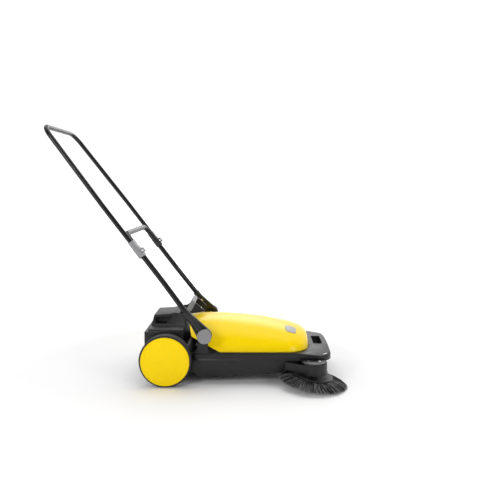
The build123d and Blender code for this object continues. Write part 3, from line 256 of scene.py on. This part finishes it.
def lathe(name, profile, centre, axis, segments=160):
    """Turns (radius, along) points about an axis; the profile is closed on itself."""
    work = bmesh.new()
    turn = Vector((0, 0, 1)).rotation_difference(axis).to_matrix()
    rings = []
    for step in range(segments):
        angle = 2 * pi * step / segments
        ring = [
            work.verts.new(centre + turn @ Vector((radius * cos(angle), radius * sin(angle), along)))
            for radius, along in profile
        ]
        rings.append(ring)
    count = len(profile)
    for step in range(segments):
        here, there = rings[step], rings[(step + 1) % segments]
        for i in range(count):
            j = (i + 1) % count
            work.faces.new((here[i], there[i], there[j], here[j]))
    bmesh.ops.remove_doubles(work, verts=work.verts, dist=1e-6)
    bmesh.ops.dissolve_degenerate(work, edges=work.edges, dist=1e-7)
    bmesh.ops.recalc_face_normals(work, faces=work.faces)
    return piece_from(name, work)


def arc(centre, radius, start, end, steps):
    """Points on an arc of a profile, angles in degrees."""
    points = []
    for step in range(steps + 1):
        angle = radians(start + (end - start) * step / steps)
        points.append((centre[0] + radius * cos(angle), centre[1] + radius * sin(angle)))
    return points


# ================================================================ floor, light and camera
STUDIO_WHITE = (0.95, 0.95, 0.95)
FLOOR_SIZE = 60
GLOW_TURNS = (-0.15, 0.35)    # sideways part of a direction, from in front to behind
GLOW_REACH = (0.7, 2.4)       # where the floor starts to glow, and where it glows fully
WALL_GLOW = 1.15              # of the surround behind the machine
ROOM_GLOW = 0.20              # of the surround in front of it
FLOOR_GLOW = 0.75             # of the floor far from the machine
# name, place, target, size and power
LIGHTS = [
    ("overhead", (0.1, 0.1, 2.7), (0.05, 0.0, 0.2), 2.4, 21),
    ("front_left", (-1.5, -2.4, 1.5), (0.0, 0.0, 0.20), 0.9, 25),
    ("front_right", (2.2, -2.0, 1.1), (0.1, 0.0, 0.15), 0.9, 18),
    ("rear", (0.4, 2.8, 1.9), (0.0, 0.1, 0.3), 1.8, 16),
]


def build_world():
    """A surround that is white behind the machine and dim in front of it."""
    world = bpy.data.worlds.new("studio")
    world.use_nodes = True
    nodes, links = world.node_tree.nodes, world.node_tree.links
    split = nodes.new("ShaderNodeSeparateXYZ")
    links.new(nodes.new("ShaderNodeTexCoord").outputs["Generated"], split.inputs["Vector"])
    glow = ramp(nodes, links, split.outputs["Y"], GLOW_TURNS, (ROOM_GLOW, WALL_GLOW))
    # seen directly it is white all round, so that no view shows a horizon
    plain = nodes.new("ShaderNodeMix")
    plain.inputs["B"].default_value = WALL_GLOW
    links.new(nodes.new("ShaderNodeLightPath").outputs["Is Camera Ray"], plain.inputs["Factor"])
    links.new(glow, plain.inputs["A"])
    links.new(plain.outputs["Result"], nodes["Background"].inputs["Strength"])
    nodes["Background"].inputs["Color"].default_value = (1, 1, 1, 1)
    bpy.context.scene.world = world


def build_studio():
    """A pale floor and large soft lights."""
    bpy.ops.mesh.primitive_plane_add(size=FLOOR_SIZE, location=(0, 0, 0))
    floor = bpy.context.object
    floor.name = "floor"
    finish = surface("studio_floor", STUDIO_WHITE, 0.9, 0.004, 2, 60, 0.02, specular=0.1)
    nodes, links = finish.node_tree.nodes, finish.node_tree.links
    distance = nodes.new("ShaderNodeVectorMath")
    distance.operation = "LENGTH"
    links.new(nodes.new("ShaderNodeTexCoord").outputs["Object"], distance.inputs[0])
    glow = ramp(nodes, links, distance.outputs["Value"], GLOW_REACH, (0, FLOOR_GLOW))
    nodes["Principled BSDF"].inputs["Emission Color"].default_value = (1, 1, 1, 1)
    links.new(glow, nodes["Principled BSDF"].inputs["Emission Strength"])
    floor.data.materials.append(finish)
    for name, place, target, size, power in LIGHTS:
        data = bpy.data.lights.new(name, "AREA")
        data.shape = "DISK"
        data.size = size
        data.energy = power
        lamp = bpy.data.objects.new(name, data)
        lamp.location = place
        lamp.rotation_euler = (Vector(target) - Vector(place)).to_track_quat("-Z", "Y").to_euler()
        bpy.context.scene.collection.objects.link(lamp)


CAMERA_AHEAD = 0.310          # in front of the wheel axle
CAMERA_AWAY = 2.264           # from the middle of the chassis
CAMERA_HEIGHT = 0.736
CAMERA_PITCH = 4.13
CAMERA_YAW = 0.74
CAMERA_LENS = 40.78
CAMERA_SENSOR = 36
CAMERA_SHIFT = (0.016, -0.043)


def build_camera():
    """The camera stands low beside the machine and looks slightly down and back."""
    data = bpy.data.cameras.new("camera")
    data.lens = CAMERA_LENS
    data.sensor_width = CAMERA_SENSOR
    data.shift_x, data.shift_y = CAMERA_SHIFT
    camera = bpy.data.objects.new("camera", data)
    camera.location = (AXLE_X + CAMERA_AHEAD, MIDDLE_Y - CAMERA_AWAY, CAMERA_HEIGHT)
    camera.rotation_euler = (radians(90 - CAMERA_PITCH), 0, radians(CAMERA_YAW))
    bpy.context.scene.collection.objects.link(camera)
    bpy.context.scene.camera = camera


build_world()
build_studio()
build_camera()
bpy.context.scene.view_settings.view_transform = "Standard"


# ================================================================ hood
HOOD_LOW, HOOD_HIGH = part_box("hood")
HOOD_BASE = HOOD_LOW.z
HOOD_WALL = 0.003
SQUARENESS = 2.25
NOSE_START = 0.446            # from here on, ahead of the axle, the hood rounds off to its nose
NOSE_NARROW = 0.092
NOSE_DROP = 0.022
HOOD_END = HOOD_HIGH.x - AXLE_X
# place ahead of the axle, half width and crest height
HOOD_RIBS = [
    (0.062, 0.172, 0.2205), (0.12, 0.172, 0.2240), (0.21, 0.172, 0.2240), (0.30, 0.1718, 0.2165),
    (0.385, 0.171, 0.2055), (NOSE_START, 0.1695, 0.1925),
]
NOSE_FALL = -0.19
HOOD_REAR = HOOD_RIBS[0][0]
FOOT_LEVEL = 0.2              # ahead of here the hood's foot is level
FOOT_KINK = 0.15              # behind here it rises faster
LIP_HEIGHT, LIP_OUT = 0.009, 0.0012


def along_ribs(x):
    """Half width and crest height at a place, from a smooth curve through the ribs."""
    count = len(HOOD_RIBS)
    i = max(0, min(count - 2, sum(1 for rib in HOOD_RIBS if rib[0] <= x) - 1))
    first, second = HOOD_RIBS[i], HOOD_RIBS[i + 1]
    before, after = HOOD_RIBS[max(0, i - 1)], HOOD_RIBS[min(count - 1, i + 2)]
    span = second[0] - first[0]
    t = (x - first[0]) / span
    values = []
    for k in (1, 2):
        slope_a = (second[k] - before[k]) / (second[0] - before[0]) * span
        slope_b = (after[k] - first[k]) / (after[0] - first[0]) * span
        values.append(
            (2 * t**3 - 3 * t**2 + 1) * first[k] + (t**3 - 2 * t**2 + t) * slope_a
            + (3 * t**2 - 2 * t**3) * second[k] + (t**3 - t**2) * slope_b
        )
    return values


def section_at(x):
    """Half width and crest height anywhere, the rounded nose included."""
    if x <= NOSE_START:
        return along_ribs(x)
    half, crest = along_ribs(NOSE_START)
    ahead = min(1.0, (x - NOSE_START) / (HOOD_END - NOSE_START))
    rounding = 1 - sqrt(1 - ahead * ahead)
    return half - NOSE_NARROW * rounding, crest + NOSE_FALL * (x - NOSE_START) - NOSE_DROP * rounding


def foot_height(x):
    """Height of the hood's lower edge, which rises towards the rear."""
    slow_rise, slow_run = 0.018, 0.05
    fast_rise, fast_run = 0.022, 0.053
    if x >= FOOT_LEVEL:
        return HOOD_BASE
    if x >= FOOT_KINK:
        return HOOD_BASE + slow_rise * (FOOT_LEVEL - x) / slow_run
    return HOOD_BASE + slow_rise + fast_rise * (FOOT_KINK - x) / fast_run


def rear_lean(z):
    """How far ahead of the axle the rear edge stands at a height."""
    top_x, top_z, lean, height = 0.066, 0.240, 0.031, 0.082
    return top_x + lean * (top_z - z) / height


def hood_ring(half, crest, foot, x_of, columns):
    """One cross-section as points from the left foot over the crest to the right foot."""
    rise = crest - HOOD_BASE
    level = max(0.0, (foot - HOOD_BASE) / rise)
    reach = (1 - level**SQUARENESS) ** (1 / SQUARENESS)
    start = atan2(level, reach)
    points = []
    for column in range(columns + 1):
        angle = start + (pi - 2 * start) * column / columns
        c, s = cos(angle), sin(angle)
        size = (abs(c) ** SQUARENESS + abs(s) ** SQUARENESS) ** (-1 / SQUARENESS)
        y, z = half * size * c, HOOD_BASE + rise * size * s
        lip = max(0.0, 1 - (z - foot) / LIP_HEIGHT)
        y += LIP_OUT * min(1.0, 2.5 * lip) * (1 if y > 0 else -1)
        points.append(Vector((AXLE_X + x_of(z), MIDDLE_Y + y, z)))
    return points


def build_hood():
    """A thin domed shell with a blunt rounded nose and a bead along its foot."""
    columns, rows, nose_rows = 88, 60, 22
    rings = []
    for row in range(rows + 1):
        x = HOOD_REAR + (NOSE_START - HOOD_REAR) * row / rows
        half, crest = along_ribs(x)
        pull = max(0.0, (FOOT_LEVEL - x) / (FOOT_LEVEL - HOOD_REAR))
        place = lambda z, x=x, pull=pull: x + (rear_lean(z) - HOOD_REAR) * pull
        rings.append(hood_ring(half, crest, foot_height(x), place, columns))
    for row in range(1, nose_rows + 1):
        x = NOSE_START + (HOOD_END - NOSE_START) * sin(radians(90) * row / nose_rows)
        half, crest = section_at(x)
        rings.append(hood_ring(half, crest, HOOD_BASE, lambda z, x=x: x, columns))
    work = bmesh.new()
    grid = [[work.verts.new(point) for point in ring] for ring in rings]
    for near, far in zip(grid, grid[1:]):
        for i in range(columns):
            work.faces.new((near[i], far[i], far[i + 1], near[i + 1]))
    # the nose closes in shrinking rings
    last = grid[-1]
    heart = Vector((AXLE_X + HOOD_END + 0.001, MIDDLE_Y, HOOD_BASE))
    for share, out in ((0.93, 0.0006), (0.8, 0.001), (0.5, 0.001)):
        ring = []
        for vert in grid[-1]:
            place = heart.lerp(vert.co, share)
            place.x = AXLE_X + HOOD_END + out
            ring.append(work.verts.new(place))
        for i in range(columns):
            work.faces.new((last[i], ring[i], ring[i + 1], last[i + 1]))
        last = ring
    centre = work.verts.new(heart)
    for i in range(columns):
        work.faces.new((last[i], centre, last[i + 1]))
    bmesh.ops.recalc_face_normals(work, faces=work.faces)
    hood = piece_from("hood_shell", work)
    shell = hood.modifiers.new("wall", "SOLIDIFY")
    shell.thickness = HOOD_WALL
    shell.offset = -1
    apply_modifiers(hood)
    return finish_piece(hood, "hood", radians(50))


build_hood()


def crest_over(x, y):
    """Height of the hood's outer face at a place beside the middle."""
    half, crest = section_at(x)
    share = 1 - (abs(y) / half) ** SQUARENESS
    return HOOD_BASE + (crest - HOOD_BASE) * share ** (1 / SQUARENESS)


def build_badge():
    """A blank oval plate let onto the near side of the hood's nose."""
    middle_x, middle_y = NOSE_START + 0.026, -0.072
    half_x, half_y, steps, corner = 0.021, 0.030, 18, 0.30
    lift, thick = 0.0012, 0.0016
    work = bmesh.new()
    grid = []
    for i in range(steps + 1):
        row = []
        for j in range(steps + 1):
            u, v = 2 * i / steps - 1, 2 * j / steps - 1
            x = middle_x + half_x * u * sqrt(1 - corner * v * v)
            y = middle_y + half_y * v * sqrt(1 - corner * u * u)
            row.append(work.verts.new((AXLE_X + x, MIDDLE_Y + y, crest_over(x, y) + lift)))
        grid.append(row)
    for near, far in zip(grid, grid[1:]):
        for j in range(steps):
            work.faces.new((near[j], far[j], far[j + 1], near[j + 1]))
    bmesh.ops.recalc_face_normals(work, faces=work.faces)
    badge = piece_from("badge", work)
    plate = badge.modifiers.new("thickness", "SOLIDIFY")
    plate.thickness = thick
    plate.offset = 0
    apply_modifiers(badge)
    badge.data.materials.clear()
    badge.data.materials.append(BADGE)
    badge.data.shade_smooth()
    badge.data.set_sharp_from_angle(angle=radians(40))
    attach(badge, "chassis")


build_badge()

# ================================================================ wheels
TYRE_LOW, TYRE_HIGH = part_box("right_tyre")
WHEEL_RADIUS = (TYRE_HIGH.z - TYRE_LOW.z) / 2
WHEEL_INNER = MIDDLE_Y - TYRE_HIGH.y
WHEEL_OUTER = MIDDLE_Y - TYRE_LOW.y
CAP_LOW, CAP_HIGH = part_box("right_hub_cap")
CAP_RADIUS = (CAP_HIGH.z - CAP_LOW.z) / 2
CAP_CROWN = MIDDLE_Y - CAP_LOW.y
WHEEL_CENTRE = Vector((AXLE_X, MIDDLE_Y, AXLE_Z))
TYRE_DEPTH = 0.0095
TREAD_RIBS = 84
SEGMENTS_PER_RIB = 4
RIB_DEPTH = 0.0011


def build_tyre(side_name, side):
    """A narrow tyre with rounded shoulders and ribs across its tread."""
    bore = WHEEL_RADIUS - TYRE_DEPTH
    shoulder, flat_from = 0.0055, 0.008
    crown = WHEEL_RADIUS - shoulder
    profile = [(bore, WHEEL_INNER), (crown - 0.001, WHEEL_INNER)]
    profile += arc((crown, WHEEL_INNER + shoulder), shoulder, 270, 360, 6)
    profile += [(WHEEL_RADIUS, WHEEL_INNER + flat_from), (WHEEL_RADIUS, WHEEL_OUTER - flat_from)]
    profile += arc((crown, WHEEL_OUTER - shoulder), shoulder, 0, 90, 6)
    profile += [(crown - 0.001, WHEEL_OUTER), (bore, WHEEL_OUTER)]
    tread = {i for i, point in enumerate(profile) if point[0] > WHEEL_RADIUS - 1e-6}
    turn = Vector((0, 0, 1)).rotation_difference(Vector((0, side, 0))).to_matrix()
    work = bmesh.new()
    segments = TREAD_RIBS * SEGMENTS_PER_RIB
    rings = []
    for step in range(segments):
        angle = 2 * pi * (step + 0.5) / segments
        sunk = RIB_DEPTH if step % SEGMENTS_PER_RIB >= SEGMENTS_PER_RIB // 2 else 0.0
        ring = []
        for i, (radius, along) in enumerate(profile):
            reach = radius - (sunk if i in tread else 0.0)
            ring.append(work.verts.new(
                WHEEL_CENTRE + turn @ Vector((reach * cos(angle), reach * sin(angle), along))
            ))
        rings.append(ring)
    for here, there in zip(rings, rings[1:] + rings[:1]):
        for i in range(len(profile)):
            j = (i + 1) % len(profile)
            work.faces.new((here[i], there[i], there[j], here[j]))
    bmesh.ops.recalc_face_normals(work, faces=work.faces)
    finish_piece(piece_from(side_name + "_tyre_piece", work), side_name + "_tyre", radians(28))


def build_cap(side_name, side):
    """A domed cap with a rounded rim, a shallow ring groove and a skirt behind."""
    edge = 0.0045
    lip = WHEEL_OUTER + 0.0002
    profile = [(0.0, CAP_CROWN), (0.030, CAP_CROWN - 0.0001), (0.055, CAP_CROWN - 0.0004)]
    profile += [(0.0790, CAP_CROWN - 0.0009), (0.0798, CAP_CROWN - 0.0015), (0.0812, CAP_CROWN - 0.0015)]
    profile += [(0.0820, CAP_CROWN - 0.0010)]
    profile += [
        (radius, min(along, CAP_CROWN)) for radius, along in
        arc((CAP_RADIUS - edge, CAP_CROWN - edge - 0.001), edge, 80, 0, 8)
    ]
    profile += [(CAP_RADIUS, lip), (CAP_RADIUS - 0.0027, lip), (CAP_RADIUS - 0.0027, lip - 0.004)]
    profile += [(CAP_RADIUS - 0.0085, lip - 0.004), (CAP_RADIUS - 0.0085, CAP_CROWN - 0.0035)]
    profile += [(0.0, CAP_CROWN - 0.0025)]
    cap = lathe(side_name + "_cap_piece", profile, WHEEL_CENTRE, Vector((0, side, 0)), 200)
    finish_piece(cap, side_name + "_hub_cap", radians(35))


for side_name, side in SIDES.items():
    build_tyre(side_name, side)
    build_cap(side_name, side)

# ================================================================ brushes
FLOOR_CLEAR = 0.0004
random.seed(11)


def add_fibre(work, points, thick, sides=3):
    """A tapered fibre along some points; gives its faces back."""
    rings = []
    for i, point in enumerate(points):
        ahead = points[min(i + 1, len(points) - 1)] - points[max(i - 1, 0)]
        turn = Vector((0, 0, 1)).rotation_difference(ahead.normalized())
        size = thick * (1 - 0.55 * i / (len(points) - 1))
        ring = []
        for k in range(sides):
            angle = 2 * pi * k / sides
            corner = point + turn @ Vector((size * cos(angle), size * sin(angle), 0))
            corner.z = max(corner.z, FLOOR_CLEAR)
            ring.append(work.verts.new(corner))
        rings.append(ring)
    faces = [work.faces.new(rings[0]), work.faces.new(list(reversed(rings[-1])))]
    for near, far in zip(rings, rings[1:]):
        for k in range(sides):
            m = (k + 1) % sides
            faces.append(work.faces.new((near[k], near[m], far[m], far[k])))
    return faces


def finish_fibres(name, work, node, pale):
    """Closes a mesh of fibres, some of them pale as painted glints, into the piece for a node."""
    bmesh.ops.recalc_face_normals(work, faces=work.faces)
    piece = finish_piece(piece_from(name, work), node, radians(60))
    # the pale fibres take the painted-glint finish
    piece.data.materials.append(GLINT_BRISTLE)
    for polygon, light in zip(piece.data.polygons, pale):
        polygon.material_index = 1 if light else 0


def build_side_brush():
    """Two rings of tufts that splay out and droop from the tilted disc to the floor."""
    low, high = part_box("brush_bristles")
    reach = (high.y - low.y) / 2
    upright = BRUSH_AXIS if BRUSH_AXIS.z > 0 else -BRUSH_AXIS
    lean = upright.angle(Vector((0, 0, 1)))
    drop = (BRUSH_CENTRE.z - reach * sin(lean)) / cos(lean)
    turn = Vector((0, 0, 1)).rotation_difference(upright)
    root_level, tufts, fibres = -0.0065, 46, 14
    work, pale = bmesh.new(), []
    for root_radius, tip_share, sag in ((0.066, 1.0, 2.1), (0.056, 0.95, 1.35)):
        for tuft in range(tufts):
            base = 2 * pi * (tuft + (0.5 if sag < 2 else 0.0)) / tufts
            for fibre in range(fibres):
                start = base + random.uniform(-0.022, 0.022)
                end = base + random.uniform(-0.062, 0.062) + 0.05
                tip = reach * tip_share * random.uniform(0.955, 1.0)
                depth = drop * random.uniform(0.92, 1.0)
                first = root_radius + random.uniform(-0.003, 0.002)
                points = []
                for step in range(6):
                    t = step / 5
                    angle = start + (end - start) * t
                    radius = first + (tip - first) * t
                    level = root_level - (depth + root_level) * t**sag
                    spot = turn @ Vector((radius * cos(angle), radius * sin(angle), level))
                    points.append(BRUSH_CENTRE + spot)
                # about one fibre in seven is pale: painted glints on the bristles
                light = random.random() < 0.14
                pale += [light] * len(add_fibre(work, points, 0.00085))
    finish_fibres("brush_bristles_piece", work, "brush_bristles", pale)


def build_roller():
    """Rows of short tufts in shallow chevrons round the roller's core."""
    low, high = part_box("roller_bristles")
    reach, half = (high.z - low.z) / 2, (high.y - low.y) / 2
    middle = (low + high) / 2
    core = (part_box("roller_core")[1].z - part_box("roller_core")[0].z) / 2
    rows, tufts, fibres, sweep = 12, 38, 6, 0.42
    work, pale = bmesh.new(), []
    for row in range(rows):
        for tuft in range(tufts):
            y = half * (2 * (tuft + 0.5) / tufts - 1) * 0.985
            base = 2 * pi * row / rows + sweep * abs(y) / half
            for fibre in range(fibres):
                points = []
                splay, slide = random.uniform(-0.10, 0.10), random.uniform(-0.0028, 0.0028)
                tip = reach * random.uniform(0.965, 0.998)
                for t in (0.0, 0.5, 1.0):
                    angle, radius = base + splay * t, core - 0.001 + (tip - core + 0.001) * t
                    along = max(-half, min(half, y + slide * t))
                    points.append(middle + Vector((radius * cos(angle), along, radius * sin(angle))))
                # a few fibres are pale: painted glints on the bristles
                light = random.random() < 0.05
                pale += [light] * len(add_fibre(work, points, 0.00075))
    finish_fibres("roller_bristles_piece", work, "roller_bristles", pale)


build_side_brush()
build_roller()

# ================================================================ moulded parts with rounded edges
EDGE_RADII = {
    "main_frame": 0.0014, "front_bumper": 0.002, "right_side_cover": 0.0016, "left_side_cover": 0.0016,
    "brush_housing": 0.001, "housing_floor": 0.0008, "container": 0.003, "container_handle": 0.0014,
    "container_grip": 0.003, "right_bracket": 0.0015, "left_bracket": 0.0015, "right_clamp": 0.0012,
    "left_clamp": 0.0012, "right_pivot_cap": 0.0006, "left_pivot_cap": 0.0006, "tube_plugs": 0.001,
}
FRAME_LOW, FRAME_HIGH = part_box("main_frame")
RAIL_FACE = (FRAME_HIGH.y - FRAME_LOW.y) / 2
RAIL_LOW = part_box("right_side_cover")[1].z
RAIL_LEAN = 0.0070
RAIL_CREASE = RAIL_LOW + 0.0125
RAIL_SKIN = 0.001             # points this close to the rail's face belong to it


def lean_rail(vert):
    """The rail's lower half slopes out as a ledge, and its upper half stands back upright."""
    aside = vert.co.y - MIDDLE_Y
    if abs(aside) > RAIL_FACE - RAIL_SKIN and vert.co.z > RAIL_LOW:
        share = min(1.0, (vert.co.z - RAIL_LOW) / (RAIL_CREASE - RAIL_LOW))
        vert.co.y -= RAIL_LEAN * share * (1 if aside > 0 else -1)


def build_rivets():
    """The brackets' rivets, bright inside and painted with the bracket outside."""
    piece = softened("bracket_rivets", 0.0009)
    piece.data.materials.append(MATERIALS["bracket_plastic"])
    shank = abs(RIGHT_WHEEL_Y - MIDDLE_Y)
    for polygon in piece.data.polygons:
        if abs(polygon.center.y - MIDDLE_Y) > shank:
            polygon.material_index = 1


for moulded, edge in EDGE_RADII.items():
    if moulded == "main_frame":
        softened(moulded, edge, shape=lean_rail, level=RAIL_CREASE)
    else:
        softened(moulded, edge)
build_rivets()

# the covers' screws are blackened
FINISH_OF = {"cover_screws": "tube_paint"}
# painted shade: the left clamp, the same part as the right clamp, takes the dark bracket finish for the shade on
# its inner side
bpy.data.objects["left_clamp_piece"].data.materials[0] = MATERIALS["bracket_plastic"]
for node, thing in frame["nodes"].items():
    if not thing.hide_render:
        thing.data.materials.clear()
        thing.data.materials.append(MATERIALS[FINISH_OF.get(node, slots[node])])
